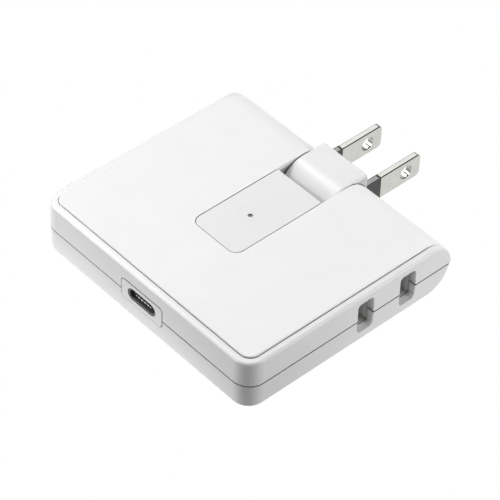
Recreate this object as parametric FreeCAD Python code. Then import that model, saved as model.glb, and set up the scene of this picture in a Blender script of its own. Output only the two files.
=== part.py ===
import FreeCAD, Part
import math
import os

os.makedirs("parts", exist_ok=True)

Vector = FreeCAD.Vector
ALONG_X = Vector(1, 0, 0)
ALONG_Y = Vector(0, 1, 0)
ALONG_Z = Vector(0, 0, 1)

# Flat wall-plug power adapter with a swing-out two-blade plug at the back, a USB-C port at
# the front and a pass-through outlet in the right side. Millimetres. The origin is the
# centre of the housing's underside, +Z is up, -Y is the port side, +X the outlet side.

# Housing
body_width = 68.9
body_depth = 60.9
body_height = 14.15
side_draft = 1.5
front_corner_r = 4.6
smallest_corner_r = 0.5
bottom_edge_r = 1.3
rim_edge_r = 0.7
wall_t = 2.0
floor_t = 1.6
deck_t = 1.35
seam_line_h = 0.32
seam_line_depth = 0.5
lip_t = 0.7
lip_h = 0.8
lip_clearance = 0.05

# Top panel and the indicator plate let into it
panel_t = 1.0
panel_proud = 0.43
panel_inset = 2.0
panel_corner_r = 2.6
panel_gap = 0.2
panel_edge_r = 0.25
panel_end_above_seam = 1.2
plate_length = 25.7
plate_corner_r = 2.2
plate_back_corner_r = 0.5
plate_gap = 0.18
plate_edge_r = 0.14
pinhole_r = 0.6
pinhole_from_slot = 14.85
pipe_clearance = 0.05
pipe_collar = 0.5
pipe_recess = 0.3
led_width = 1.6
led_depth = 1.0
led_height = 0.7
led_space = 0.1

# Blades of the plug
blade_spacing = 12.7
blade_t = 1.5
blade_height = 6.35
blade_reach = 17.0
blade_tip_r = 1.2
blade_edge_bevel = 0.15
blade_hole_r = 1.8
blade_hole_reach = 12.4
blade_embed = 2.0
neck_t = 0.9
neck_height = 5.5
sleeve_reach = 4.4
sleeve_embed = 1.0

# Swing block
block_wall = 0.2
block_gap = 0.1
block_inset = 0.1
block_edge_r = 0.6
slot_front_gap = 0.5
slot_wall = 1.3
trunnion_r = 3.0
trunnion_gap = 0.08
trunnion_overhang = 0.9
notch_r = 0.5
notch_end_wall = 0.05
strap_t = 1.0
strap_height = 4.8
stud_r = 1.2
cap_r = 2.2
cap_t = 0.6
cap_gap = 0.05
detent_gap = 0.1
detent_nose_r = 0.45
detent_leaf_t = 0.3
detent_side_gap = 0.1

# Port
port_above_seam = 0.43
port_width = 8.94
port_height = 3.26
port_shell_t = 0.3
port_length = 7.3
port_recess = 0.2
port_clearance = 0.08
port_lead_in = 0.1
tongue_width = 6.7
tongue_t = 0.7
tongue_recess = 0.4
tongue_base = 2.2
pad_pitch = 0.5
pad_width = 0.26
pad_reach = 3.7
pad_setback = 0.5
power_pad_setback = 0.1
pad_t = 0.04
pads_per_side = 12
power_pads = (0, 3, 8, 11)
bezel_width = 13.4
bezel_height = 5.5
bezel_corner_r = 1.0
bezel_gap = 0.2
bezel_flange = 0.9
bezel_flange_t = 0.8

# Outlet
outlet_width = 4.75
outlet_height = 8.7
outlet_corner_r = 1.0
outlet_lead_in = 0.1
outlet_above_seam = 0.325
outlet_from_back = 20.1
carrier_wall = 1.0
carrier_gap = 0.1
carrier_space = 1.5
carrier_floor_rise = 0.3
carrier_roof_t = 0.5
channel_inset = 0.2
contact_t = 0.4
contact_pinch = 1.2
contact_mouth = 3.2
contact_setback = 3.4
contact_flare = 3.0
contact_side_gap = 0.1
contact_end_gap = 0.3
tail_width = 1.2

# Conductors from the pivot to the board and the outlet
conductor_t = 0.4
conductor_h = 2.3
conductor_space = 0.5
leaf_length = 5.6
leaf_height = 5.0
foot_length = 3.5
foot_setback = 1.0

# Board, its posts and the sheets above it
board_t = 1.2
board_gap = 0.3
board_back_space = 1.3
led_tab_width = 12.0
led_tab_margin = 1.8
post_r = 1.4
upper_post_r = 1.0
upper_post_gap = 0.05
post_inset = 1.8
pin_r = 0.6
pin_gap = 0.1
spreader_t = 0.5
sheet_t = 0.2
sheet_margin = 0.5
pad_space = 0.5
pad_margin = 0.5
head_gap = 0.3

# Big capacitors beside the slot
can_gap = 0.2
can_length = 20.5
can_from_board = 1.4
can_bead = 0.35
can_bead_from_end = 2.0
can_bead_depth = 0.2
vent_width = 0.3
vent_depth = 0.3
vent_reach = 0.7
lead_r = 0.3
lead_spacing = 3.5
lead_landing = 0.3
lead_root = 0.5
cradle_t = 1.2
cradle_h = 1.5
cradle_clearance = 0.05
cradle_setback = 4.1

# Parts on the board
edge_space = 1.0
part_space = 0.7
core_width = 13.0
core_plate = 1.0
core_leg = 2.4
winding_overhang = 1.25
winding_gap = 0.15
winding_from_rectifier = 3.325
winding_corner_r = 1.0
choke_ring_r = 3.1
choke_coil_r = 1.5
fuse_r = 1.7
fuse_length = 8.0
fuse_cap_length = 2.0
fuse_cap_t = 0.15
x_capacitor_width = 11.0
x_capacitor_depth = 5.0
bridge_side = 5.5
bridge_height = 2.0
y_capacitor_width = 5.0
y_capacitor_depth = 3.5
y_capacitor_height = 2.2
y_capacitor_from_back = 2.0
switch_width = 5.2
switch_depth = 4.4
switch_height = 1.1
controller_side = 4.0
controller_height = 0.9
inductor_side = 5.0
inductor_height = 2.8
rectifier_width = 5.0
rectifier_depth = 4.0
rectifier_height = 1.0
output_can_r = 2.5
moulded_corner_r = 0.5
chip_corner_r = 0.15

# Reach of cutting tools past what they cut, and the slack used to pick edges
overrun = 10.0
past = 1.0
touch = 0.01

# Places worked out from the sizes above
half_width = body_width / 2
front_y = -body_depth / 2
back_y = body_depth / 2
seam_z = body_height / 2
back_r = body_height / 2
pivot_y = back_y - back_r
rim_z = body_height - panel_proud
seat_z = body_height - panel_t
ceiling_z = seat_z - deck_t
draft = math.tan(math.radians(side_draft))

block_half = blade_spacing / 2 + blade_t / 2 + block_wall
block_r = back_r - block_inset
slot_half = block_half + block_gap
slot_front = pivot_y - block_r - slot_front_gap
slot_wall_x = slot_half + slot_wall
slot_wall_y = slot_front - slot_wall
trunnion_end = slot_wall_x + trunnion_overhang
cap_end = trunnion_end + cap_t

port_z = seam_z + port_above_seam
port_front = front_y + port_recess
port_back = port_front + port_length
board_top = port_z - port_height / 2
board_bottom = board_top - board_t
spreader_z = ceiling_z - spreader_t
sheet_z = spreader_z - sheet_t
tall_top = sheet_z - head_gap

outlet_z = seam_z + outlet_above_seam
outlet_back_y = back_y - outlet_from_back + blade_spacing / 2
outlet_front_y = outlet_back_y - blade_spacing
channel_half = outlet_width / 2 - channel_inset
channel_z0 = outlet_z - outlet_height / 2 + channel_inset + carrier_floor_rise
channel_z1 = ceiling_z - carrier_gap - carrier_roof_t
carrier_y0 = outlet_front_y - channel_half - carrier_wall
carrier_y1 = outlet_back_y + channel_half + carrier_wall
carrier_x1 = half_width - wall_t - carrier_gap

neutral_x0 = cap_end + cap_gap
neutral_x1 = neutral_x0 + conductor_t
line_x1 = neutral_x0 - conductor_space
line_x0 = line_x1 - conductor_t
carrier_x0 = neutral_x1 + carrier_space
neutral_z0 = board_top
neutral_z1 = neutral_z0 + conductor_h
line_z0 = neutral_z1 + conductor_space
line_z1 = min(line_z0 + conductor_h, tall_top)

board_x1 = half_width - wall_t - board_gap
board_x0 = -board_x1
board_front = front_y + wall_t + bezel_flange_t + board_gap
board_back = carrier_y0 - board_back_space
pinhole_y = slot_front - pinhole_from_slot
parts_front = board_front + part_space
parts_x1 = board_x1 - post_inset - post_r - part_space
rectifier_front = parts_front + 2 * output_can_r + part_space
winding_front = rectifier_front + rectifier_depth + winding_from_rectifier
winding_back = board_back - winding_gap
winding_depth = winding_back - winding_front
core_depth = winding_depth - 2 * winding_overhang


def box(x0, x1, y0, y1, z0, z1):
    """Upright block between two corners."""
    return Part.makeBox(x1 - x0, y1 - y0, z1 - z0, Vector(x0, y0, z0))


def rod(start, direction, radius, length):
    """Round bar from a start point."""
    return Part.makeCylinder(radius, length, start, direction)


def joined(solids):
    """One solid from several that meet or overlap."""
    result = solids[0]
    for solid in solids[1:]:
        result = result.fuse(solid)
    return result.removeSplitter()


def without(solid, tools):
    """A solid with each tool cut away."""
    for tool in tools:
        solid = solid.cut(tool)
    return solid


def edges_where(solid, wanted):
    """The edges whose bounding boxes pass a test."""
    return [edge for edge in solid.Edges if wanted(edge.BoundBox)]


def rounded_rectangle(centre, first, second, half_first, half_second, radius):
    """Closed outline with round corners in the plane of two directions."""
    def point(u, v):
        return centre + first * u + second * v

    inner_u = half_first - radius
    inner_v = half_second - radius
    shoulder = radius * math.sqrt(0.5)
    edges = []
    for turn_u, turn_v in ((1, 1), (-1, 1), (-1, -1), (1, -1)):
        side_point = point(turn_u * half_first, turn_v * inner_v)
        end_point = point(turn_u * inner_u, turn_v * half_second)
        mid_point = point(turn_u * (inner_u + shoulder), turn_v * (inner_v + shoulder))
        across = point(-turn_u * inner_u, turn_v * half_second)
        along = point(turn_u * half_first, -turn_v * inner_v)
        if turn_u * turn_v > 0:
            edges.append(Part.Arc(side_point, mid_point, end_point).toShape())
            edges.append(Part.LineSegment(end_point, across).toShape())
        else:
            edges.append(Part.Arc(end_point, mid_point, side_point).toShape())
            edges.append(Part.LineSegment(side_point, along).toShape())
    return Part.Wire(edges)


def plan_outline(half_x, y_front, radius, z):
    """Housing outline at one height: round front corners, sides run past the back."""
    y_end = back_y + overrun
    shoulder = radius * (1 - math.sqrt(0.5))
    left_start = Vector(-half_x, y_front + radius, z)
    left_mid = Vector(-half_x + shoulder, y_front + shoulder, z)
    left_end = Vector(-half_x + radius, y_front, z)
    right_start = Vector(half_x - radius, y_front, z)
    right_mid = Vector(half_x - shoulder, y_front + shoulder, z)
    right_end = Vector(half_x, y_front + radius, z)
    left_back = Vector(-half_x, y_end, z)
    right_back = Vector(half_x, y_end, z)
    return Part.Wire([
        Part.LineSegment(left_back, left_start).toShape(),
        Part.Arc(left_start, left_mid, left_end).toShape(),
        Part.LineSegment(left_end, right_start).toShape(),
        Part.Arc(right_start, right_mid, right_end).toShape(),
        Part.LineSegment(right_end, right_back).toShape(),
        Part.LineSegment(right_back, left_back).toShape(),
    ])


def inset_outline(inset, z):
    """Housing outline drawn in by an even amount."""
    radius = max(front_corner_r - inset, smallest_corner_r)
    return plan_outline(half_width - inset, front_y + inset, radius, z)


def prism(outline, height):
    """Outline drawn upwards into a solid."""
    return Part.Face(outline).extrude(ALONG_Z * height)


def drafted_prism(z_far):
    """Half of the housing's plan shape, widest at the seam."""
    far_inset = abs(z_far - seam_z) * draft
    return Part.makeLoft([inset_outline(0, seam_z), inset_outline(far_inset, z_far)], True, True)


def rounded_back_slab(z_low, z_high, y_back):
    """Side view of the housing with its back fully rounded, drawn across the body."""
    x = -half_width - overrun
    y_front = front_y - overrun
    low_r = seam_z - z_low
    high_r = z_high - seam_z
    shoulder = math.sqrt(0.5)
    low_start = Vector(x, y_back - low_r, z_low)
    low_mid = Vector(x, y_back - low_r + low_r * shoulder, seam_z - low_r * shoulder)
    tip = Vector(x, y_back, seam_z)
    high_mid = Vector(x, y_back - high_r + high_r * shoulder, seam_z + high_r * shoulder)
    high_end = Vector(x, y_back - high_r, z_high)
    front_low = Vector(x, y_front, z_low)
    front_high = Vector(x, y_front, z_high)
    outline = Part.Wire([
        Part.LineSegment(front_low, low_start).toShape(),
        Part.Arc(low_start, low_mid, tip).toShape(),
        Part.Arc(tip, high_mid, high_end).toShape(),
        Part.LineSegment(high_end, front_high).toShape(),
        Part.LineSegment(front_high, front_low).toShape(),
    ])
    return Part.Face(outline).extrude(ALONG_X * (body_width + 2 * overrun))


def outer_edges(solid, z_flat):
    """The edges round a flat top or bottom and on down the two ends of the rounded back."""
    def wanted(limits):
        flat = abs(limits.ZMin - z_flat) < touch and abs(limits.ZMax - z_flat) < touch
        across_back = limits.XLength > past and limits.YMin > 0
        end_arc = limits.ZLength > past and limits.XLength < past and limits.YMax > pivot_y + past
        return (flat and not across_back) or end_arc

    return edges_where(solid, wanted)


def ribbon(points, thickness, z0, z1):
    """Bent strip of sheet standing upright along a line of points in plan."""
    left = []
    right = []
    for index, point in enumerate(points):
        before = points[max(index - 1, 0)]
        after = points[min(index + 1, len(points) - 1)]
        into = Vector(point[0] - before[0], point[1] - before[1], 0)
        out = Vector(after[0] - point[0], after[1] - point[1], 0)
        if index == 0:
            into = out
        if index == len(points) - 1:
            out = into
        into = into.normalize()
        out = out.normalize()
        across = Vector(-into.y - out.y, into.x + out.x, 0).normalize()
        reach = thickness / 2 / across.dot(Vector(-into.y, into.x, 0))
        left.append(Vector(point[0] + across.x * reach, point[1] + across.y * reach, z0))
        right.append(Vector(point[0] - across.x * reach, point[1] - across.y * reach, z0))
    loop = left + right[::-1]
    return Part.Face(Part.makePolygon(loop + [loop[0]])).extrude(ALONG_Z * (z1 - z0))


def cavity():
    """Room inside the housing, with the walls of the plug's slot left standing."""
    room = prism(inset_outline(wall_t, floor_t), ceiling_z - floor_t)
    room = room.common(rounded_back_slab(floor_t, ceiling_z, back_y - wall_t))
    return room.cut(box(-slot_wall_x, slot_wall_x, slot_wall_y, back_y + overrun, 0, body_height))


def slot_space():
    """Open way for the plug, right through the back edge."""
    return box(-slot_half, slot_half, slot_front, back_y + overrun, -overrun, body_height + overrun)


def bearing_bores():
    """Bores through both walls of the slot for the trunnions."""
    start = Vector(-slot_wall_x - past, pivot_y, seam_z)
    return rod(start, ALONG_X, trunnion_r + trunnion_gap, 2 * (slot_wall_x + past))


def seam_ring():
    """Shallow line round the outside where the two shells meet."""
    kept = prism(inset_outline(seam_line_depth, 0), body_height)
    kept = kept.common(rounded_back_slab(0, body_height, back_y - seam_line_depth))
    band = box(-half_width - past, half_width + past, front_y - past, back_y + past,
               seam_z - seam_line_h, seam_z)
    return band.cut(kept)


def lip_ring(clearance):
    """Raised lip of the lower shell that the upper shell fits over."""
    inset = wall_t - lip_t - clearance
    ring = prism(inset_outline(inset, seam_z), lip_h + clearance)
    ring = ring.common(rounded_back_slab(0, body_height, back_y - inset))
    ring = ring.cut(prism(inset_outline(wall_t, seam_z - past), lip_h + 3 * past))
    open_slot = box(-slot_wall_x - past, slot_wall_x + past, 0, back_y + overrun, 0, body_height)
    open_port = box(-bezel_width, bezel_width, front_y - past, front_y + wall_t + past, 0, body_height)
    open_back = box(-half_width, half_width, pivot_y, back_y + overrun, 0, body_height)
    return without(ring, [open_slot, open_port, open_back])


def bezel_outline_solid(grow, y0, y1):
    """The port insert's shape, grown all round."""
    outline = rounded_rectangle(Vector(0, y0, port_z), ALONG_X, ALONG_Z, bezel_width / 2 + grow,
                                bezel_height / 2 + grow, bezel_corner_r + grow)
    return Part.Face(outline).extrude(ALONG_Y * (y1 - y0))


def port_outline(width, height, y):
    """Section of the port, with its two ends round."""
    radius = height / 2 - touch / 10
    return rounded_rectangle(Vector(0, y, port_z), ALONG_X, ALONG_Z, width / 2, height / 2, radius)


def port_solid(width, height, y0, y1):
    """Bar of the port's section."""
    return Part.Face(port_outline(width, height, y0)).extrude(ALONG_Y * (y1 - y0))


def outlet_outline(x, y, grow):
    """Section of one slot of the outlet, grown all round."""
    return rounded_rectangle(Vector(x, y, outlet_z), ALONG_Y, ALONG_Z, outlet_width / 2 + grow,
                             outlet_height / 2 + grow, outlet_corner_r + grow)


def outlet_cut(y):
    """One slot of the outlet through the side wall, with a lead-in at its mouth."""
    inner_x = half_width - wall_t - past
    hole = Part.Face(outlet_outline(inner_x, y, 0)).extrude(ALONG_X * (wall_t + 2 * past))
    lead_in = Part.makeLoft([
        outlet_outline(half_width - outlet_lead_in, y, 0),
        outlet_outline(half_width + outlet_lead_in, y, 2 * outlet_lead_in),
    ], True, True)
    return joined([hole, lead_in])


def post_places():
    """Corners where posts hold the board."""
    x = board_x1 - post_inset
    y0 = board_front + post_inset
    y1 = board_back - post_inset
    return [(-x, y0), (x, y0), (-x, y1), (x, y1)]


def can_places():
    """Radius, height and centre lines of the two big capacitors beside the slot."""
    room_x0 = -half_width + wall_t + can_gap
    room_x1 = -neutral_x1 - conductor_space
    height = board_top + lead_r
    radius = min(height - floor_t, ceiling_z - height, (room_x1 - room_x0) / 4) - can_gap
    first = room_x0 + can_gap + radius
    second = first + 2 * (radius + can_gap)
    return radius, height, [first, second]


def can_start():
    """Front end of the two big capacitors."""
    return board_back + can_from_board


def openings_in_shells():
    """Everything cut through both shells alike."""
    port_cut = bezel_outline_solid(bezel_gap, front_y - past, front_y + wall_t + past)
    outlets = [outlet_cut(y) for y in (outlet_front_y, outlet_back_y)]
    return [cavity(), slot_space(), bearing_bores(), port_cut] + outlets


def board_posts():
    """Stepped posts on the floor that carry and centre the board."""
    posts = []
    for x, y in post_places():
        posts.append(rod(Vector(x, y, floor_t), ALONG_Z, post_r, board_bottom - floor_t))
        posts.append(rod(Vector(x, y, floor_t), ALONG_Z, pin_r, board_top - floor_t - pin_gap))
    return posts


def can_cradles():
    """Two ribs on the floor, hollowed to hold the big capacitors."""
    radius, height, centres = can_places()
    cradles = []
    for y in (can_start() + cradle_setback, can_start() + can_length - cradle_setback):
        cradle = box(-half_width + wall_t, centres[-1] + radius, y - cradle_t / 2, y + cradle_t / 2,
                     floor_t, height - radius + cradle_h)
        for x in centres:
            seat = rod(Vector(x, y - cradle_t, height), ALONG_Y, radius + cradle_clearance, 2 * cradle_t)
            cradle = cradle.cut(seat)
        cradles.append(cradle)
    return cradles


def make_lower_shell():
    outer = drafted_prism(0).common(rounded_back_slab(0, rim_z, back_y))
    outer = outer.makeFillet(bottom_edge_r, outer_edges(outer, 0))
    shell = joined([outer, lip_ring(0)])
    shell = without(shell, openings_in_shells() + [seam_ring()])
    return joined([shell] + board_posts() + can_cradles())


def make_upper_shell():
    outer = drafted_prism(rim_z).common(rounded_back_slab(0, rim_z, back_y))
    outer = outer.makeFillet(rim_edge_r, outer_edges(outer, rim_z))
    recess = prism(panel_outline(panel_gap, seam_z + panel_end_above_seam - panel_gap), body_height)
    recess = recess.cut(rounded_back_slab(0, seat_z, back_y - panel_t))
    pinhole = rod(Vector(0, pinhole_y, 0), ALONG_Z, pinhole_r, body_height)
    shell = without(outer, openings_in_shells() + [recess, lip_ring(lip_clearance), pinhole])
    post_z = board_top + upper_post_gap
    posts = [rod(Vector(x, y, post_z), ALONG_Z, upper_post_r, ceiling_z - post_z + touch)
             for x, y in post_places()]
    return joined([shell] + posts)


def panel_outline(grow, z):
    """Plan outline of the top panel."""
    return plan_outline(half_width - panel_inset + grow, front_y + panel_inset - grow,
                        panel_corner_r + grow, z)


def plate_solid(grow, y_back, z0, z1):
    """The indicator plate's shape, grown at its front and sides."""
    half_x = slot_half - plate_gap + grow
    y_front = slot_front - plate_length - grow
    radius = plate_corner_r + grow
    body = box(-half_x, half_x, y_front + radius, y_back, z0, z1)
    nose = rounded_rectangle(Vector(0, y_front + 2 * radius, z0), ALONG_X, ALONG_Y, half_x,
                             2 * radius, radius)
    return joined([body, Part.Face(nose).extrude(ALONG_Z * (z1 - z0))])


def make_top_panel():
    sheet = rounded_back_slab(0, body_height, back_y)
    sheet = sheet.cut(rounded_back_slab(-overrun, seat_z, back_y - panel_t))
    sheet = sheet.common(prism(panel_outline(0, seam_z + panel_end_above_seam), body_height))
    sheet = sheet.makeFillet(panel_edge_r, outer_edges(sheet, body_height))
    return sheet.cut(plate_solid(plate_gap, back_y + overrun, 0, body_height + past))


def make_indicator_plate():
    plate = plate_solid(0, slot_front, seat_z, body_height)
    back_corners = edges_where(plate, lambda limits: limits.YMin > slot_front - touch
                               and limits.XLength < touch)
    plate = plate.makeFillet(plate_back_corner_r, back_corners)
    plate = plate.makeFillet(plate_edge_r, edges_where(plate, lambda limits: limits.ZMin
                                                       > body_height - touch))
    return plate.cut(rod(Vector(0, pinhole_y, 0), ALONG_Z, pinhole_r, body_height + past))


def make_light_pipe():
    low = board_top + led_height + led_space
    stem_r = pinhole_r - pipe_clearance
    stem = rod(Vector(0, pinhole_y, low), ALONG_Z, stem_r, body_height - pipe_recess - low)
    collar = rod(Vector(0, pinhole_y, low), ALONG_Z, stem_r + pipe_collar, ceiling_z - low)
    return joined([stem, collar])


def make_indicator_led():
    return box(-led_width / 2, led_width / 2, pinhole_y - led_depth / 2, pinhole_y + led_depth / 2,
               board_top, board_top + led_height)


def make_port_bezel():
    flange_y = front_y + wall_t
    flange_half = bezel_width / 2 + bezel_flange
    flange = box(-flange_half, flange_half, flange_y, flange_y + bezel_flange_t,
                 port_z - bezel_height / 2, port_z + bezel_height / 2)
    bezel = joined([bezel_outline_solid(0, front_y, flange_y), flange])
    width = port_width + 2 * port_clearance
    height = port_height + 2 * port_clearance
    hole = port_solid(width, height, front_y - past, flange_y + bezel_flange_t + past)
    lead_in = Part.makeLoft([
        port_outline(width, height, front_y + port_lead_in),
        port_outline(width + 4 * port_lead_in, height + 4 * port_lead_in, front_y - port_lead_in),
    ], True, True)
    return without(bezel, [hole, lead_in])


def make_port_shell():
    tube = port_solid(port_width, port_height, port_front, port_back)
    return tube.cut(port_solid(port_width - 2 * port_shell_t, port_height - 2 * port_shell_t,
                               port_front - past, port_back + past))


def make_port_tongue():
    base = port_solid(port_width - 2 * port_shell_t, port_height - 2 * port_shell_t,
                      port_back - tongue_base, port_back)
    tongue = box(-tongue_width / 2, tongue_width / 2, port_front + tongue_recess, port_back,
                 port_z - tongue_t / 2, port_z + tongue_t / 2)
    return joined([base, tongue])


def make_port_contacts():
    tip_y = port_front + tongue_recess
    pads = []
    for index in range(pads_per_side):
        x = (index - (pads_per_side - 1) / 2) * pad_pitch
        y0 = tip_y + (power_pad_setback if index in power_pads else pad_setback)
        for z in (port_z + tongue_t / 2, port_z - tongue_t / 2 - pad_t):
            pads.append(box(x - pad_width / 2, x + pad_width / 2, y0, tip_y + pad_reach,
                            z, z + pad_t))
    return Part.makeCompound(pads)


def make_circuit_board():
    board = box(board_x0, board_x1, board_front, board_back, board_bottom, board_top)
    tab = box(-led_tab_width / 2, led_tab_width / 2, board_back - past, pinhole_y + led_tab_margin,
              board_bottom, board_top)
    holes = [rod(Vector(x, y, 0), ALONG_Z, pin_r + pin_gap, body_height) for x, y in post_places()]
    round_front = prism(inset_outline(wall_t + board_gap, board_bottom), board_t)
    return without(joined([board.common(round_front), tab]), holes)


def core_place():
    """Centre of the transformer in plan."""
    return neutral_x1 + edge_space + core_width / 2, (winding_front + winding_back) / 2


def core_levels():
    """Heights of the transformer's underside and top."""
    return board_top, sheet_z - pad_space


def make_transformer_core():
    x, y = core_place()
    z0, z1 = core_levels()
    half_x = core_width / 2
    half_y = core_depth / 2
    core = box(x - half_x, x + half_x, y - half_y, y + half_y, z0, z1)
    window = half_x - 2 * core_leg
    windows = [box(start, start + window, y - half_y - past, y + half_y + past,
                   z0 + core_plate, z1 - core_plate)
               for start in (x + core_leg, x - core_leg - window)]
    return without(core, windows)


def make_transformer_winding():
    x, y = core_place()
    z0, z1 = core_levels()
    z0 = z0 + core_plate + winding_gap
    z1 = z1 - core_plate - winding_gap
    half_x = core_width / 2 - core_leg - winding_gap
    outline = rounded_rectangle(Vector(x, y, z0), ALONG_X, ALONG_Y, half_x, winding_depth / 2,
                                winding_corner_r)
    leg_x = core_leg + winding_gap
    leg_y = core_depth / 2 + winding_gap
    return prism(outline, z1 - z0).cut(box(x - leg_x, x + leg_x, y - leg_y, y + leg_y, 0, body_height))


def make_thermal_pad():
    x, y = core_place()
    half_x = core_width / 2 - pad_margin
    half_y = core_depth / 2 - pad_margin
    return box(x - half_x, x + half_x, y - half_y, y + half_y, core_levels()[1], sheet_z)


def make_sheet(z0, z1):
    """Flat sheet under the deck, cut clear of the upper posts and the light pipe."""
    sheet = box(board_x0 + sheet_margin, board_x1 - sheet_margin, board_front + sheet_margin,
                board_back - sheet_margin, z0, z1)
    notches = [box(x - post_inset, x + post_inset, y - post_inset, y + post_inset, z0, z1)
               for x, y in post_places()]
    pipe_room_r = pinhole_r - pipe_clearance + pipe_collar + sheet_margin
    notches.append(rod(Vector(0, pinhole_y, z0), ALONG_Z, pipe_room_r, z1 - z0))
    return without(sheet, notches)


def make_bulk_capacitor(x):
    radius, height, centres = can_places()
    y0 = can_start()
    y1 = y0 + can_length
    can = rod(Vector(x, y0, height), ALONG_Y, radius, can_length)
    bead = Part.makeTorus(radius + can_bead - can_bead_depth, can_bead,
                          Vector(x, y0 + can_bead_from_end, height), ALONG_Y)
    reach = radius * vent_reach
    upright = box(x - vent_width / 2, x + vent_width / 2, y1 - vent_depth, y1 + past,
                  height - reach, height + reach)
    level = box(x - reach, x + reach, y1 - vent_depth, y1 + past,
                height - vent_width / 2, height + vent_width / 2)
    leads = []
    for side in (-1, 1):
        start = Vector(x + side * lead_spacing / 2, board_back - lead_landing, height)
        leads.append(rod(start, ALONG_Y, lead_r, y0 + lead_root - start.y))
    return joined([without(can, [bead, upright, level])] + leads)


def make_line_choke():
    reach = choke_ring_r + choke_coil_r
    x = board_x0 + edge_space + 2 * fuse_r + edge_space + reach
    y = board_back - edge_space - reach
    return Part.makeTorus(choke_ring_r, choke_coil_r, Vector(x, y, board_top + choke_coil_r), ALONG_Z)


def make_fuse():
    y1 = board_back - post_inset - post_r - part_space
    y0 = y1 - fuse_length
    centre = Vector(board_x0 + edge_space + fuse_r, y0, board_top + fuse_r)
    tube = rod(centre, ALONG_Y, fuse_r - fuse_cap_t, fuse_length)
    far_cap = centre + ALONG_Y * (fuse_length - fuse_cap_length)
    caps = [rod(start, ALONG_Y, fuse_r, fuse_cap_length) for start in (centre, far_cap)]
    return joined([tube] + caps)


def block_on_board(x0, y0, width, depth, top, corner_r):
    """Moulded component standing on the board."""
    outline = rounded_rectangle(Vector(x0 + width / 2, y0 + depth / 2, board_top), ALONG_X, ALONG_Y,
                                width / 2, depth / 2, corner_r)
    return prism(outline, top - board_top)


def make_x_capacitor():
    return block_on_board(-parts_x1, parts_front, x_capacitor_width, x_capacitor_depth, tall_top,
                          moulded_corner_r)


def make_bridge_rectifier():
    x0 = -parts_x1 + x_capacitor_width + part_space
    return block_on_board(x0, parts_front, bridge_side, bridge_side, board_top + bridge_height,
                          chip_corner_r)


def y_capacitor_front():
    """Front face of the disc capacitor behind the power switch."""
    return board_back - y_capacitor_from_back - y_capacitor_depth


def make_y_capacitor():
    return block_on_board(-y_capacitor_width / 2, y_capacitor_front(), y_capacitor_width,
                          y_capacitor_depth, board_top + y_capacitor_height, moulded_corner_r)


def make_power_switch():
    y0 = y_capacitor_front() - part_space - switch_depth
    return block_on_board(-switch_width / 2, y0, switch_width, switch_depth,
                          board_top + switch_height, chip_corner_r)


def make_port_controller():
    return block_on_board(-controller_side / 2, port_back + part_space, controller_side,
                          controller_side, board_top + controller_height, chip_corner_r)


def output_can_x(index):
    """Centre of one output capacitor, counted from the right."""
    return parts_x1 - output_can_r - index * (2 * output_can_r + part_space)


def make_output_capacitor(index):
    centre = Vector(output_can_x(index), parts_front + output_can_r, board_top)
    return rod(centre, ALONG_Z, output_can_r, tall_top - board_top)


def make_output_inductor():
    x1 = output_can_x(1) - output_can_r - part_space
    return block_on_board(x1 - inductor_side, parts_front, inductor_side, inductor_side,
                          board_top + inductor_height, moulded_corner_r)


def make_rectifier_switch():
    return block_on_board(output_can_x(0) - rectifier_width, rectifier_front, rectifier_width,
                          rectifier_depth, board_top + rectifier_height, chip_corner_r)


def contact_tails():
    """Row, underside and top of the tail of each outlet contact."""
    return [(outlet_front_y, line_z0, min(line_z1, channel_z1)),
            (outlet_back_y, neutral_z0, neutral_z1)]


def make_outlet_carrier():
    carrier = box(carrier_x0, carrier_x1, carrier_y0, carrier_y1, floor_t, ceiling_z - carrier_gap)
    channel_x0 = carrier_x0 + carrier_wall
    channels = [box(channel_x0, carrier_x1 + past, y - channel_half, y + channel_half,
                    channel_z0, channel_z1)
                for y in (outlet_front_y, outlet_back_y)]
    tail_slots = [box(carrier_x0 - past, channel_x0 + past, y - tail_width / 2, y + tail_width / 2,
                      z0, z1)
                  for y, z0, z1 in contact_tails()]
    return without(carrier, channels + tail_slots)


def make_outlet_contact(row, strap_x):
    """Spring fork that grips a blade, with a tail back through the carrier's wall."""
    y, tail_z0, tail_z1 = contact_tails()[row]
    web_x = carrier_x0 + carrier_wall + contact_t / 2
    mouth_x = carrier_x1 - contact_setback
    pinch_x = mouth_x - contact_flare
    root_y = channel_half - contact_t - contact_side_gap
    pinch_y = contact_pinch / 2 + contact_t / 2
    mouth_y = contact_mouth / 2
    points = [(mouth_x, y + mouth_y), (pinch_x, y + pinch_y), (web_x, y + root_y),
              (web_x, y - root_y), (pinch_x, y - pinch_y), (mouth_x, y - mouth_y)]
    fork = ribbon(points, contact_t, channel_z0 + contact_end_gap, channel_z1 - contact_end_gap)
    tail = box(strap_x, web_x, y - tail_width / 2, y + tail_width / 2, tail_z0, tail_z1)
    return joined([fork, tail])


def pivot_leaf(x0, x1):
    """Spring leaf that bears on the end of the pivot."""
    return box(x0, x1, pivot_y - leaf_length / 2, pivot_y + leaf_length / 2,
               seam_z - leaf_height / 2, seam_z + leaf_height / 2)


def make_neutral_strap():
    run = box(neutral_x0, neutral_x1, board_back - foot_length, pivot_y, neutral_z0, neutral_z1)
    return joined([pivot_leaf(neutral_x0, neutral_x1), run])


def make_line_strap():
    x0 = -neutral_x1
    x1 = -neutral_x0
    foot_y = board_back - foot_length
    riser_x = (line_x0 + line_x1) / 2
    cross_y = slot_wall_y - conductor_space - conductor_t / 2
    run = box(x0, x1, foot_y, pivot_y, line_z0, line_z1)
    foot = box(x0, x1, foot_y, board_back - foot_setback, board_top, line_z1)
    cross = ribbon([(x1, cross_y), (riser_x, cross_y), (riser_x, outlet_front_y - tail_width / 2)],
                   conductor_t, line_z0, line_z1)
    return joined([pivot_leaf(x0, x1), run, foot, cross])


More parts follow.
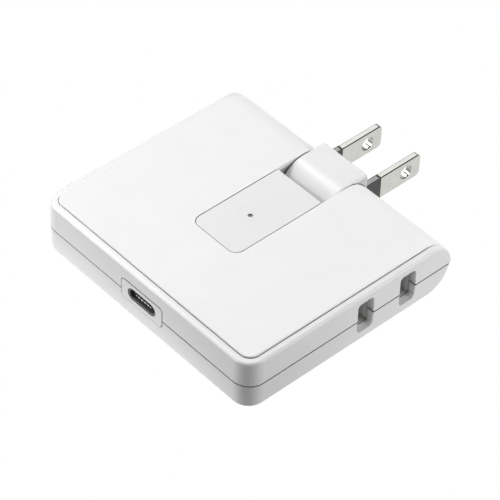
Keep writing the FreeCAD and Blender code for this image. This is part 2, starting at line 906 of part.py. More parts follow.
def make_detent_spring():
    nose_y = pivot_y - trunnion_r - detent_gap - detent_nose_r
    x0 = -trunnion_end + detent_side_gap
    x1 = -slot_wall_x - detent_side_gap
    leaf_y1 = nose_y - detent_nose_r / 2
    leaf = box(x0, x1, leaf_y1 - detent_nose_r / 2 - detent_leaf_t, leaf_y1, floor_t, ceiling_z)
    nose = rod(Vector(x0, nose_y, seam_z), ALONG_X, detent_nose_r, x1 - x0)
    return joined([leaf, nose])


def blade_bar(side, y0, y1, thickness, height):
    """Flat bar of a blade's section, from one depth to another."""
    x = side * blade_spacing / 2
    return box(x - thickness / 2, x + thickness / 2, y0, y1, seam_z - height / 2, seam_z + height / 2)


def make_blade(side):
    root_y = back_y + sleeve_reach
    tip_y = back_y + blade_reach
    bar = blade_bar(side, root_y, tip_y, blade_t, blade_height)
    tip_corners = edges_where(bar, lambda limits: limits.XLength > touch and limits.YMin > tip_y - touch)
    bar = bar.makeFillet(blade_tip_r, tip_corners)
    face_edges = edges_where(bar, lambda limits: limits.XLength < touch and limits.YMax > root_y + past)
    bar = bar.makeChamfer(blade_edge_bevel, face_edges)
    neck = blade_bar(side, back_y - sleeve_embed, root_y, neck_t, neck_height)
    root = blade_bar(side, back_y - blade_embed, back_y - sleeve_embed, blade_t, blade_height)
    hole_start = Vector(side * blade_spacing / 2 - blade_t, back_y + blade_hole_reach, seam_z)
    return joined([bar, neck, root]).cut(rod(hole_start, ALONG_X, blade_hole_r, 2 * blade_t))


def make_sleeve(side):
    sleeve = blade_bar(side, back_y - sleeve_embed, back_y + sleeve_reach, blade_t, blade_height)
    return sleeve.cut(blade_bar(side, 0, back_y + blade_reach, neck_t, neck_height))


def make_blade_strap(side):
    outer_x = side * (blade_spacing / 2 - blade_t / 2)
    inner_x = outer_x - side * strap_t
    strap = box(min(inner_x, outer_x), max(inner_x, outer_x), pivot_y - strap_height / 2,
                back_y - sleeve_embed, seam_z - strap_height / 2, seam_z + strap_height / 2)
    stud = rod(Vector(inner_x, pivot_y, seam_z), ALONG_X * side, stud_r, trunnion_end - abs(inner_x))
    return joined([strap, stud])


def make_pivot_cap(side):
    cap = rod(Vector(side * trunnion_end, pivot_y, seam_z), ALONG_X * side, cap_r, cap_t)
    rim = edges_where(cap, lambda limits: limits.XLength < touch
                      and abs(abs(limits.XMin) - cap_end) < touch)
    return cap.makeFillet(cap_t / 3, rim)


def make_trunnions():
    """Pivot bar through the block, notched at three quarter turns for the detent."""
    bar = rod(Vector(-trunnion_end, pivot_y, seam_z), ALONG_X, trunnion_r, 2 * trunnion_end)
    notches = []
    for angle in (90, 180, 270):
        y = pivot_y + trunnion_r * math.cos(math.radians(angle))
        z = seam_z + trunnion_r * math.sin(math.radians(angle))
        start = Vector(-trunnion_end - past, y, z)
        notches.append(rod(start, ALONG_X, notch_r, past + trunnion_overhang - notch_end_wall))
    return without(bar, notches)


def make_plug_block():
    rear_y = back_y - block_inset
    drum = rod(Vector(-block_half, pivot_y, seam_z), ALONG_X, block_r, 2 * block_half)
    rear = box(-block_half, block_half, pivot_y, rear_y, seam_z - block_r, seam_z + block_r)
    block = joined([drum, rear])
    outline = edges_where(block, lambda limits: limits.XLength < touch or limits.YMin > rear_y - touch)
    block = joined([block.makeFillet(block_edge_r, outline), make_trunnions()])
    pockets = []
    for side in (-1, 1):
        pockets.append(blade_bar(side, back_y - blade_embed, back_y + past, blade_t, blade_height))
        pockets.append(make_blade_strap(side))
    return without(block, pockets)


def export_all():
    """Builds every piece and writes one file for each."""
    pieces = {
        "lower_shell": make_lower_shell(),
        "upper_shell": make_upper_shell(),
        "top_panel": make_top_panel(),
        "indicator_plate": make_indicator_plate(),
        "light_pipe": make_light_pipe(),
        "indicator_led": make_indicator_led(),
        "port_bezel": make_port_bezel(),
        "port_shell": make_port_shell(),
        "port_tongue": make_port_tongue(),
        "port_contacts": make_port_contacts(),
        "circuit_board": make_circuit_board(),
        "transformer_core": make_transformer_core(),
        "transformer_winding": make_transformer_winding(),
        "thermal_pad": make_thermal_pad(),
        "heat_spreader": make_sheet(spreader_z, ceiling_z),
        "insulating_sheet": make_sheet(sheet_z, spreader_z),
        "line_choke": make_line_choke(),
        "fuse": make_fuse(),
        "x_capacitor": make_x_capacitor(),
        "y_capacitor": make_y_capacitor(),
        "bridge_rectifier": make_bridge_rectifier(),
        "power_switch": make_power_switch(),
        "port_controller": make_port_controller(),
        "rectifier_switch": make_rectifier_switch(),
        "output_inductor": make_output_inductor(),
        "outlet_carrier": make_outlet_carrier(),
        "outlet_contact_line": make_outlet_contact(0, line_x1),
        "outlet_contact_neutral": make_outlet_contact(1, neutral_x1),
        "line_strap": make_line_strap(),
        "neutral_strap": make_neutral_strap(),
        "detent_spring": make_detent_spring(),
        "plug_block": make_plug_block(),
    }
    for index, x in enumerate(can_places()[2]):
        pieces["bulk_capacitor_%d" % (index + 1)] = make_bulk_capacitor(x)
    for index in range(2):
        pieces["output_capacitor_%d" % (index + 1)] = make_output_capacitor(index)
    for side, word in ((-1, "left"), (1, "right")):
        pieces["blade_" + word] = make_blade(side)
        pieces["sleeve_" + word] = make_sleeve(side)
        pieces["blade_strap_" + word] = make_blade_strap(side)
        pieces["pivot_cap_" + word] = make_pivot_cap(side)
    for name, shape in pieces.items():
        print(name, len(shape.Solids), shape.isValid(), round(shape.Volume, 2))
        shape.exportStep("parts/" + name + ".step")


export_all()
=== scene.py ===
import math

import bpy
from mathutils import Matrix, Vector


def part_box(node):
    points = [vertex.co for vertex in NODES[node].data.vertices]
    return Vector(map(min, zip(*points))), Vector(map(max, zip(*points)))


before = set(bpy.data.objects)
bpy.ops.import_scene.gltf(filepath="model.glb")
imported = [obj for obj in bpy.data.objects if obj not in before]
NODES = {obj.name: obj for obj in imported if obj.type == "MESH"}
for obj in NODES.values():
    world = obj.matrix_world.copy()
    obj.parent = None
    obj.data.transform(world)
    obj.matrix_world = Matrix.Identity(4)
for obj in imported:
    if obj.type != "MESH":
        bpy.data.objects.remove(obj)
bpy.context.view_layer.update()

MM = 0.001

# Camera: place and lens in millimetres, turn in degrees, at the photograph's viewing angle
CAMERA_PLACE = (306.805, -289.090, 418.813)
CAMERA_TURN = (45.4502, -1.5399, 48.0850)
CAMERA_LENS = 190.466
CAMERA_SENSOR = 36.0
# Nearest and farthest distance that the camera sees, in metres
CAMERA_CLIP = (0.01, 20.0)

# Floor: half its side in metres, and how far it lies under the object in millimetres
FLOOR_HALF = 4.0
FLOOR_DROP = 0.02
# Strengths of the light from floor and sky: as the camera sees both, as gloss shows the floor,
# and as each lights the object
SEEN_WHITE = 1.0
FLOOR_GLOSS = 0.9
FLOOR_GLOW = 0.24
SKY_GLOW = 0.09
# What the floor's glow gains before the front, and loses beside the corner next to the outlet
FLOOR_BOUNCE = 0.68
FLOOR_SHADE = 0.22

# Softboxes: degrees round from straight back towards the outlet side, degrees up,
# distance from the middle of the object in metres, width and height in metres, power in watts
SOFTBOXES = {
    "key_light": (288.5, 51.8, 1.0, (0.24, 0.10), 2.95),
    "back_light": (315.0, 43.0, 0.9, (0.35, 0.35), 0.45),
    "upper_left_light": (270.0, 52.0, 1.0, (0.30, 0.30), 1.0),
    "upper_right_light": (66.0, 46.0, 1.0, (0.30, 0.30), 2.15),
    "top_light": (270.0, 70.0, 0.55, (0.25, 0.25), 0.63),
    "low_back_light": (345.0, 22.0, 0.60, (0.28, 0.28), 0.45),
    "left_front_light": (225.0, 28.0, 0.50, (0.25, 0.25), 1.15),
    "left_edge_light": (211.0, 10.0, 0.25, (0.12, 0.12), 0.155),
    "front_light": (180.0, 8.0, 0.42, (0.20, 0.20), 0.04),
    "right_light": (45.0, 8.0, 0.42, (0.20, 0.20), 0.42),
    "right_edge_light": (67.0, 10.0, 0.25, (0.12, 0.12), 0.207),
}
LIGHT_AIM = Vector((0.0, 0.0, 0.012))


def grey(value, warmth=0.0):
    return (value, value * (1 - warmth / 2), value * (1 - warmth), 1.0)


# Places on the model, in metres
TOP_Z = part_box("top_panel")[1][2]
SEAM_Z = (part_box("lower_shell")[0][2] + TOP_Z) / 2
SIDE_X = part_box("lower_shell")[1][0]
BACK_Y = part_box("lower_shell")[1][1]
FRONT_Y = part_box("lower_shell")[0][1]
BACK_R = TOP_Z - SEAM_Z
PIVOT_Y = BACK_Y - BACK_R
PLATE_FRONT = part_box("indicator_plate")[0][1]
PLATE_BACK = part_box("indicator_plate")[1][1]
PLATE_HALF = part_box("indicator_plate")[1][0]
PANEL_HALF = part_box("top_panel")[1][0]
PANEL_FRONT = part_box("top_panel")[0][1]
PANEL_END_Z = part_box("top_panel")[0][2]
SEAT_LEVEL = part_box("indicator_plate")[0][2] - SEAM_Z
RIM_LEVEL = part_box("upper_shell")[1][2] - SEAM_Z

# The painted shade in the gaps, standing for the shadow in them: a sliver takes in or leaves out an
# edge, a hair only rounding
SLIVER = 0.05 * MM
HAIR = SLIVER / 10
SEAM_GROOVE = 0.32 * MM
GROOVE_GAP = 0.2 * MM
PAST_GAP = GROOVE_GAP + SLIVER
PAINTED_SHADE = grey(0.07)
GROOVE_ROUGHNESS = 0.8

# Where the painted shade in the front's gaps is lighter, and by what share: at the left, and what
# is left of it at the right
LIT_X = (-SIDE_X / 2, SIDE_X / 4)
LIT_Y = (FRONT_Y + 2 * MM, FRONT_Y + 10 * MM)
LIT_AT_RIGHT = 0.45
SEAM_LIT = 0.50
RECESS_LIT = 0.90
PANEL_LIT = (1.0, 0.6)
LIT_CORNER = 4 * MM
# Share of painted shade on the panel's cut edge beside the indicator plate, at its left and at its
# right
BESIDE_PLATE_SHADES = (0.55, 1.0)

# The rim round the panel: how far down it gets painted shade, and how much painted shade it has at
# the right
RIM_DEPTH = 0.4 * MM
RIM_SHADE = 0.07

# The plug's slot, the painted shade on its cheeks from deep to the top, and the block in it with
# the painted shade on its flat ends
SLOT_HALF = 7.4 * MM
SLOT_FRONT = PIVOT_Y - 7.5 * MM
CHEEK_SHADES = (0.85, 0.55)
CHEEK_Z = (TOP_Z - 4 * MM, TOP_Z - MM)
BLOCK_HALF = 7.3 * MM
BLOCK_END_SHADE = 0.35

# The port: its insert, the rounded mouth with painted shade on its wall, the painted shade inwards
# and the painted highlights at the contacts' tips
PORT_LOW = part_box("port_bezel")[0][2]
PORT_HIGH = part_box("port_bezel")[1][2]
PORT_MID = (PORT_LOW + PORT_HIGH) / 2
BEZEL_HALF = 6.7 * MM
MOUTH_STRAIGHT = 2.84 * MM
MOUTH_R = 1.76 * MM
MOUTH_SHADES = (0.0, 0.9)
PORT_SHADES = (0.4, 1.0)
PORT_DEPTH_Y = (FRONT_Y + 0.2 * MM, FRONT_Y + 1.4 * MM)
TONGUE_TIP_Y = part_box("port_tongue")[0][1]
TIP_LOW = -0.25 * MM
TIP_HIGH = 0.05 * MM
TIP_PITCH = 1.0 * MM
TIP_ROW = 2.5 * MM

# The outlet's two slots: the walls near the side, painted lighter as painted light and with light
# scattering through them, and the painted shade inwards
OUTLET_Y = BACK_Y - 20.1 * MM
OUTLET_Z = SEAM_Z + 0.325 * MM
OUTLET_PITCH = 12.7 * MM
OUTLET_HALF = (2.45 * MM, 4.45 * MM)
OUTLET_FLOOR = 4 * SLIVER
OUTLET_WALL_X = (SIDE_X - 8 * MM, SIDE_X - SLIVER)
PAINTED_WALL_LIGHT = grey(0.95)
PALE_SCATTER = 1 * MM
OUTLET_LEDGE = OUTLET_Z - 3.85 * MM
LEDGE_SHADE = 0.45
UNDER_LEDGE_SHADE = 0.75
OUTLET_SHADES = (0.68, 0.0)
OUTLET_DEPTH_X = (SIDE_X - 6 * MM, SIDE_X - 2 * MM)

# The blades and their sleeves; painted shade on the bevels and on a hole's wall, darkest at the
# bottom on its outer side, and a painted highlight on the sleeve's top
BLADE_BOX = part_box("blade_right")
BLADE_MID = (BLADE_BOX[0][0] + BLADE_BOX[1][0]) / 2
BLADE_CORNER = (BLADE_BOX[1][0] - BLADE_BOX[0][0] + BLADE_BOX[1][2] - BLADE_BOX[0][2]) / 2
BLADE_BEVEL = 0.15 * MM
HOLE_Y = BACK_Y + 12.4 * MM
HOLE_R = 1.8 * MM
HOLE_BOTTOM = -0.8 * HOLE_R
HOLE_OUTER = 0.4 * MM
HOLE_SHADE = 0.25
HOLE_BOTTOM_SHADE = 0.7
SLEEVE_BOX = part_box("sleeve_right")
SLEEVE_HALF = (SLEEVE_BOX[1][0] - SLEEVE_BOX[0][0]) / 2
SLEEVE_EDGE = 0.2 * MM
SLEEVE_END = 0.6 * MM

# Where the floor's glow changes: the strip before the front, the shade beside the corner
# next to the outlet, and how far that shade reaches out
STRIP_X = (SIDE_X - 19 * MM, SIDE_X + 4 * MM)
STRIP_Y = (FRONT_Y - 12 * MM, FRONT_Y - 6 * MM)
CORNER_X = (SIDE_X - 3 * MM, SIDE_X + 3 * MM)
CORNER_Y = (FRONT_Y + 10 * MM, FRONT_Y + 35 * MM)
NEAR_X = (SIDE_X + 20 * MM, SIDE_X + 40 * MM)
NEAR_Y = (FRONT_Y - 16 * MM, FRONT_Y - 4 * MM)

# Patterns: the part of a noise's range that is spread out, sizes in millimetres, and the broad
# wave's size and depth as multiples of the grain's
NOISE_SPAN = (0.3, 0.7)
DRIFT_SIZE = 9.0
LINE_SIZE = 0.35
CLOUD_SIZE = 2.5
WAVE_SIZE = 14
WAVE_DEPTH = 1.6


class Paint:
    """One material, its nodes laid over the piece in the model's own space."""

    def __init__(self, name, **sockets):
        self.material = bpy.data.materials.new(name)
        self.material.use_nodes = True
        self.tree = self.material.node_tree
        self.shader = self.tree.nodes["Principled BSDF"]
        self.space = self.add("ShaderNodeTexCoord").outputs["Object"]
        self.split = None
        for socket, value in sockets.items():
            self.shader.inputs[socket.replace("_", " ")].default_value = value

    def add(self, kind, **settings):
        node = self.tree.nodes.new(kind)
        for key, value in settings.items():
            setattr(node, key, value)
        return node

    def link(self, source, target):
        self.tree.links.new(source, target)

    def noise(self, size, detail, stretch=(1.0, 1.0, 1.0)):
        """Soft random pattern with features of a size in millimetres."""
        spread = self.add("ShaderNodeMapping")
        spread.inputs["Scale"].default_value = stretch
        self.link(self.space, spread.inputs["Vector"])
        node = self.add("ShaderNodeTexNoise")
        node.inputs["Scale"].default_value = 1 / (size * MM)
        node.inputs["Detail"].default_value = detail
        self.link(spread.outputs["Vector"], node.inputs["Vector"])
        return node.outputs["Fac"]

    def remap(self, source, values, span=NOISE_SPAN):
        """Goes from one value to another as a number crosses a span."""
        node = self.add("ShaderNodeMapRange")
        node.inputs["From Min"].default_value, node.inputs["From Max"].default_value = span
        node.inputs["To Min"].default_value, node.inputs["To Max"].default_value = values
        self.link(source, node.inputs["Value"])
        return node.outputs["Result"]

    def blend(self, factor, first, second):
        """Mix of two colours, each given as a value or as another node's output."""
        node = self.add("ShaderNodeMix", data_type="RGBA")
        for socket, colour in ((node.inputs["A"], first), (node.inputs["B"], second)):
            if isinstance(colour, tuple):
                socket.default_value = colour
            else:
                self.link(colour, socket)
        self.link(factor, node.inputs["Factor"])
        return node.outputs["Result"]

    def calc(self, operation, first, second=0.0):
        """Result of a Math node, its inputs given as values or as other nodes' outputs."""
        node = self.add("ShaderNodeMath", operation=operation)
        for socket, value in zip(node.inputs, (first, second)):
            if isinstance(value, float):
                socket.default_value = value
            else:
                self.link(value, socket)
        return node.outputs["Value"]

    def axes(self):
        """The point's three coordinates in the model's own space, in metres."""
        if self.split is None:
            self.split = self.add("ShaderNodeSeparateXYZ")
            self.link(self.space, self.split.inputs["Vector"])
        return [self.split.outputs[letter] for letter in "XYZ"]

    def above(self, source, low):
        return self.calc("GREATER_THAN", source, low)

    def below(self, source, high):
        return self.calc("LESS_THAN", source, high)

    def between(self, source, low, high):
        """One where a number lies between two limits, and nought elsewhere."""
        return self.every(self.above(source, low), self.below(source, high))

    def every(self, share, *others):
        """Product of some shares."""
        for other in others:
            share = self.calc("MULTIPLY", share, other)
        return share

    def either(self, share, *others):
        """The largest of some shares."""
        for other in others:
            share = self.calc("MAXIMUM", share, other)
        return share

    def rest(self, share):
        """What a share leaves of one."""
        return self.calc("SUBTRACT", 1.0, share)

    def less(self, source, amount):
        return self.calc("SUBTRACT", source, amount)

    def size(self, source):
        return self.calc("ABSOLUTE", source)

    def beyond(self, source, limit):
        """How far a number is past a limit, and nought before it."""
        return self.calc("MAXIMUM", self.less(source, limit), 0.0)

    def distance(self, first, second):
        squares = [self.every(side, side) for side in (first, second)]
        return self.calc("SQRT", self.calc("ADD", *squares))

    def level(self):
        """Height above the seam, measured from the pivot's line where the back is round."""
        y, z = self.axes()[1:]
        return self.distance(self.beyond(y, PIVOT_Y), self.less(z, SEAM_Z))

    def slot(self):
        """One at the walls of the plug's slot, and nought elsewhere."""
        x, y = self.axes()[:2]
        return self.every(self.below(self.size(x), SLOT_HALF + 2 * SLIVER),
                          self.above(y, SLOT_FRONT - SLIVER))

    def colour(self, source):
        self.link(source, self.shader.inputs["Base Color"])

    def roughness(self, source):
        self.link(source, self.shader.inputs["Roughness"])

    def relief(self, *layers):
        """Bumps laid over one another: pattern and depth in millimetres."""
        normal = None
        for pattern, depth in layers:
            bump = self.add("ShaderNodeBump")
            bump.inputs["Strength"].default_value = 1.0
            bump.inputs["Distance"].default_value = depth * MM
            self.link(pattern, bump.inputs["Height"])
            if normal is not None:
                self.link(normal, bump.inputs["Normal"])
            normal = bump.outputs["Normal"]
        self.link(normal, self.shader.inputs["Normal"])


def lit_front(paint, share):
    """How much the painted shade in the front's gaps is lessened, most of all at the left."""
    x, y = paint.axes()[:2]
    return paint.every(paint.remap(y, (share, 0.0), LIT_Y),
                       paint.remap(x, (1.0, LIT_AT_RIGHT), LIT_X))


def shell_painted_shade(paint):
    """Painted shade in the seam, the gaps round the panel and the port insert, on the slot's cheeks
    and on the rim.
    """
    x, y, z = paint.axes()
    side = paint.size(x)
    level = paint.level()
    slot = paint.slot()
    seam = paint.every(paint.between(z, SEAM_Z - SEAM_GROOVE - HAIR, SEAM_Z + HAIR),
                       paint.rest(lit_front(paint, SEAM_LIT)))
    recess = paint.every(paint.between(level, SEAT_LEVEL - HAIR, RIM_LEVEL - SLIVER),
                         paint.below(side, PANEL_HALF + PAST_GAP),
                         paint.above(y, PANEL_FRONT - PAST_GAP),
                         paint.above(z, PANEL_END_Z),
                         paint.rest(slot),
                         paint.rest(lit_front(paint, RECESS_LIT)))
    port = paint.every(paint.between(x, -BEZEL_HALF, BEZEL_HALF + PAST_GAP),
                       paint.between(z, PORT_LOW - PAST_GAP, PORT_HIGH + PAST_GAP),
                       paint.above(y, FRONT_Y + 2 * SLIVER))
    # Painted shade on the slot's cheeks, darker deeper down
    cheek = paint.every(slot, paint.above(side, SLOT_HALF - SLIVER),
                        paint.remap(z, CHEEK_SHADES, CHEEK_Z))
    # Painted shade on the rim, none on its left part, growing towards the right
    rim = paint.every(paint.above(level, RIM_LEVEL - RIM_DEPTH),
                      paint.remap(x, (0.0, RIM_SHADE), (-SIDE_X / 2, SIDE_X / 2)))
    return paint.either(seam, recess, port, cheek, rim)


def panel_painted_shade(paint):
    """Painted shade on the panel's sides below the rim, and on its cut edge beside the indicator
    plate.
    """
    x, y = paint.axes()[:2]
    level = paint.level()
    front = paint.below(y, PANEL_FRONT + 2 * SLIVER)
    corner = paint.every(paint.below(x, LIT_CORNER - PANEL_HALF),
                         paint.below(y, PANEL_FRONT + LIT_CORNER))
    lighter = paint.every(paint.either(front, corner), paint.remap(x, PANEL_LIT, (-SIDE_X, 0.0)))
    low = paint.every(paint.below(level, RIM_LEVEL), paint.rest(paint.slot()), paint.rest(lighter))
    beside = paint.every(paint.below(paint.size(x), PLATE_HALF + PAST_GAP),
                         paint.between(y, PLATE_FRONT - PAST_GAP, PLATE_BACK),
                         paint.remap(x, BESIDE_PLATE_SHADES, (-SLIVER, SLIVER)),
                         paint.below(level, BACK_R - SLIVER))
    return paint.either(low, beside)


def plate_painted_shade(paint):
    """Painted shade on the indicator plate's sides, below its rounded edge."""
    y, z = paint.axes()[1:]
    return paint.every(paint.below(z, TOP_Z - 3 * SLIVER), paint.below(y, PLATE_BACK - 3 * SLIVER))


def bezel_painted_shade(paint):
    """Painted shade on the port insert's outer sides, behind its face, and on the wall of its
    opening.
    """
    x, y, z = paint.axes()
    rise = paint.size(paint.less(z, PORT_MID))
    outer = paint.either(paint.above(paint.size(x), BEZEL_HALF - SLIVER),
                         paint.above(rise, (PORT_HIGH - PORT_LOW) / 2 - SLIVER))
    behind = paint.every(outer, paint.above(y, FRONT_Y + SLIVER))
    flat = paint.beyond(paint.size(x), MOUTH_STRAIGHT)
    mouth = paint.every(paint.below(paint.distance(flat, rise), MOUTH_R),
                        paint.remap(y, MOUTH_SHADES, (FRONT_Y - 2 * SLIVER, FRONT_Y + 3 * SLIVER)))
    return paint.either(behind, mouth)


def port_painted_shade(paint):
    """Painted shade in the receptacle's inside, darker from its rim inwards."""
    return paint.remap(paint.axes()[1], PORT_SHADES, PORT_DEPTH_Y)


def contact_tip_highlights(paint):
    """Painted highlights where the contacts' ends catch the light, in a row along the tongue's
    front.
    """
    x, y, z = paint.axes()
    step = paint.calc("PINGPONG", x, TIP_PITCH / 2)
    return paint.every(paint.below(paint.size(x), TIP_ROW),
                       paint.above(step, TIP_PITCH / 6),
                       paint.below(y, TONGUE_TIP_Y + SLIVER),
                       paint.between(z, PORT_MID + TIP_LOW, PORT_MID + TIP_HIGH))


def outlet_walls_painted_light(paint):
    """Walls of the two outlet slots above their lower faces, where the colour is painted lighter as
    painted light and light scatters under the surface.
    """
    x, y, z = paint.axes()
    along = paint.less(paint.size(paint.less(y, OUTLET_Y)), OUTLET_PITCH / 2)
    rise = paint.less(z, OUTLET_Z)
    return paint.every(paint.below(paint.size(along), OUTLET_HALF[0]),
                       paint.between(rise, OUTLET_FLOOR - OUTLET_HALF[1], OUTLET_HALF[1]),
                       paint.between(x, *OUTLET_WALL_X))


def outlet_painted_shade(paint):
    """Painted shade on the outlet's inner walls, darker inwards, on their lower ledge and under it.
    """
    x, _, z = paint.axes()
    ledge = paint.every(paint.between(z, OUTLET_LEDGE - SLIVER, OUTLET_LEDGE + SLIVER), LEDGE_SHADE)
    below = paint.every(paint.below(z, OUTLET_LEDGE - HAIR), UNDER_LEDGE_SHADE)
    return paint.either(ledge, below, paint.remap(x, OUTLET_SHADES, OUTLET_DEPTH_X))


def plug_painted_shade(paint):
    """Painted shade on the swing block's flat ends: full deep in the slot inside the round, lighter
    beyond it.
    """
    side = paint.size(paint.axes()[0])
    inside = paint.every(paint.below(paint.level(), BACK_R + 3 * SLIVER),
                         paint.above(side, BLOCK_HALF - 4 * SLIVER))
    end = paint.every(paint.above(side, BLOCK_HALF - SLIVER), BLOCK_END_SHADE)
    return paint.either(inside, end)


def blade_painted_shade(paint):
    """Painted shade on the stamped bevels along the blade and on the wall of its hole, darker than
    the flats.
    """
    x, y, z = paint.axes()
    offset = paint.less(x, paint.every(paint.calc("SIGN", x), BLADE_MID))
    rise = paint.less(z, SEAM_Z)
    reach = paint.calc("ADD", paint.size(offset), paint.size(rise))
    bevel = paint.above(reach, BLADE_CORNER - BLADE_BEVEL - SLIVER)
    hole = paint.below(paint.distance(paint.less(y, HOLE_Y), rise), HOLE_R + SLIVER / 2)
    low = paint.every(paint.below(rise, HOLE_BOTTOM), paint.above(offset, HOLE_OUTER))
    depth = paint.calc("ADD", paint.every(low, HOLE_BOTTOM_SHADE), HOLE_SHADE)
    return paint.either(bevel, paint.every(hole, depth))


def sleeve_top_highlight(paint):
    """Painted highlight on the sleeve's upper face inside its edges, lighter than the rest."""
    x, y, z = paint.axes()
    across = paint.size(paint.less(paint.size(x), BLADE_MID))
    return paint.every(paint.below(across, SLEEVE_HALF - SLEEVE_EDGE),
                       paint.below(y, SLEEVE_BOX[1][1] - SLEEVE_END),
                       paint.above(z, SLEEVE_BOX[1][2] - SLIVER))


def moulded(name, colours, rough, grain, depth, grooves=None, shade_and_highlight_colour=PAINTED_SHADE, pale=None,
            **sockets):
    """Moulded plastic: faint drift of colour, uneven polish and a spark-eroded grain, with painted
    light, painted shade and painted highlights where masks say.
    """
    paint = Paint(name, **sockets)
    drift = paint.noise(DRIFT_SIZE, 3.0)
    fine = paint.noise(grain, 3.0)
    shade = paint.blend(paint.remap(drift, (0.0, 1.0)), *colours)
    # Painted light: a lighter colour where the mask says, and light scattering under the surface
    # there
    if pale is not None:
        there = pale(paint)
        shade = paint.blend(there, shade, PAINTED_WALL_LIGHT)
        paint.link(there, paint.shader.inputs["Subsurface Weight"])
        paint.shader.inputs["Subsurface Radius"].default_value = (1.0, 1.0, 1.0)
        paint.shader.inputs["Subsurface Scale"].default_value = PALE_SCATTER
    # Painted shade and painted highlights: the mask's colour laid over where the mask says
    if grooves is not None:
        shade = paint.blend(grooves(paint), shade, shade_and_highlight_colour)
    paint.colour(shade)
    paint.roughness(paint.remap(fine, rough))
    paint.relief((fine, depth), (paint.noise(grain * WAVE_SIZE, 1.0), depth * WAVE_DEPTH))
    return paint.material


def brushed(name, colours, rough, stretch, depth, grooves=None, shade_and_highlight_colour=PAINTED_SHADE,
            metallic=1.0, **sockets):
    """Rolled or drawn metal with fine lines along it, and painted shade where a mask says."""
    paint = Paint(name, Metallic=metallic, **sockets)
    lines = paint.noise(LINE_SIZE, 4.0, stretch)
    cloud = paint.noise(CLOUD_SIZE, 3.0)
    shade = paint.blend(paint.remap(cloud, (0.0, 1.0)), *colours)
    polish = paint.remap(lines, rough)
    # Painted shade where the mask says, made rougher there too
    if grooves is not None:
        deep = grooves(paint)
        shade = paint.blend(deep, shade, shade_and_highlight_colour)
        polish = paint.either(polish, paint.every(deep, GROOVE_ROUGHNESS))
    paint.colour(shade)
    paint.roughness(polish)
    paint.relief((lines, depth))
    return paint.material


# Plastics, by name: the two colours between which it drifts, roughness from and to, size of the
# grain and depth of its bumps in millimetres, and the painted light, painted shade and painted
# highlights laid on by place, or what is set on the shader
PLASTICS = {
    "shell_plastic": ((grey(0.76), grey(0.78)), (0.26, 0.34), 0.22, 0.003,
                      {"grooves": shell_painted_shade, "pale": outlet_walls_painted_light}),
    "panel_plastic": ((grey(0.76), grey(0.78)), (0.50, 0.62), 0.30, 0.014,
                      {"grooves": panel_painted_shade}),
    "plate_plastic": ((grey(0.70), grey(0.72)), (0.36, 0.44), 0.20, 0.004,
                      {"grooves": plate_painted_shade}),
    "bezel_plastic": ((grey(0.77), grey(0.79)), (0.26, 0.34), 0.22, 0.003,
                      {"grooves": bezel_painted_shade}),
    "plug_plastic": ((grey(0.72), grey(0.74)), (0.34, 0.42), 0.20, 0.003,
                     {"grooves": plug_painted_shade}),
    # The sleeve's top gets a painted highlight, lighter than its black sides
    "sleeve_plastic": ((grey(0.014), grey(0.020)), (0.3, 0.4), 0.15, 0.002,
                       {"grooves": sleeve_top_highlight, "shade_and_highlight_colour": grey(0.34)}),
    # The tongue's black front gets painted highlights where the contacts' ends catch the light
    "tongue_plastic": ((grey(0.010), grey(0.014)), (0.5, 0.6), 0.12, 0.003,
                       {"grooves": contact_tip_highlights, "shade_and_highlight_colour": grey(0.95),
                        "Specular_IOR_Level": 0.2}),
    "carrier_plastic": ((grey(0.74), grey(0.78)), (0.45, 0.55), 0.2, 0.004,
                        {"grooves": outlet_painted_shade}),
    "pipe_plastic": ((grey(0.26), grey(0.30)), (0.20, 0.28), 0.15, 0.002, {}),
    "led_plastic": ((grey(0.70, 0.2), grey(0.75, 0.2)), (0.3, 0.4), 0.1, 0.002, {}),
    "chip_black": ((grey(0.022), grey(0.03)), (0.5, 0.65), 0.12, 0.006, {}),
    "fuse_glass": ((grey(0.55), grey(0.60)), (0.12, 0.2), 0.4, 0.002, {}),
    "ferrite": ((grey(0.04), grey(0.055)), (0.45, 0.6), 0.15, 0.01, {}),
    "pad_rubber": (((0.32, 0.40, 0.46, 1), (0.36, 0.44, 0.5, 1)), (0.6, 0.75), 0.3, 0.01, {}),
    "insulating_film": (((0.62, 0.45, 0.10, 1), (0.68, 0.5, 0.13, 1)), (0.2, 0.3), 0.5, 0.003, {}),
    "film_case": (((0.62, 0.40, 0.06, 1), (0.68, 0.45, 0.08, 1)), (0.3, 0.4), 0.2, 0.004, {}),
    "disc_case": (((0.05, 0.16, 0.42, 1), (0.07, 0.19, 0.46, 1)), (0.3, 0.42), 0.25, 0.008, {}),
    "board_laminate": (((0.02, 0.16, 0.06, 1), (0.03, 0.2, 0.08, 1)), (0.3, 0.42), 0.3, 0.006, {}),
}

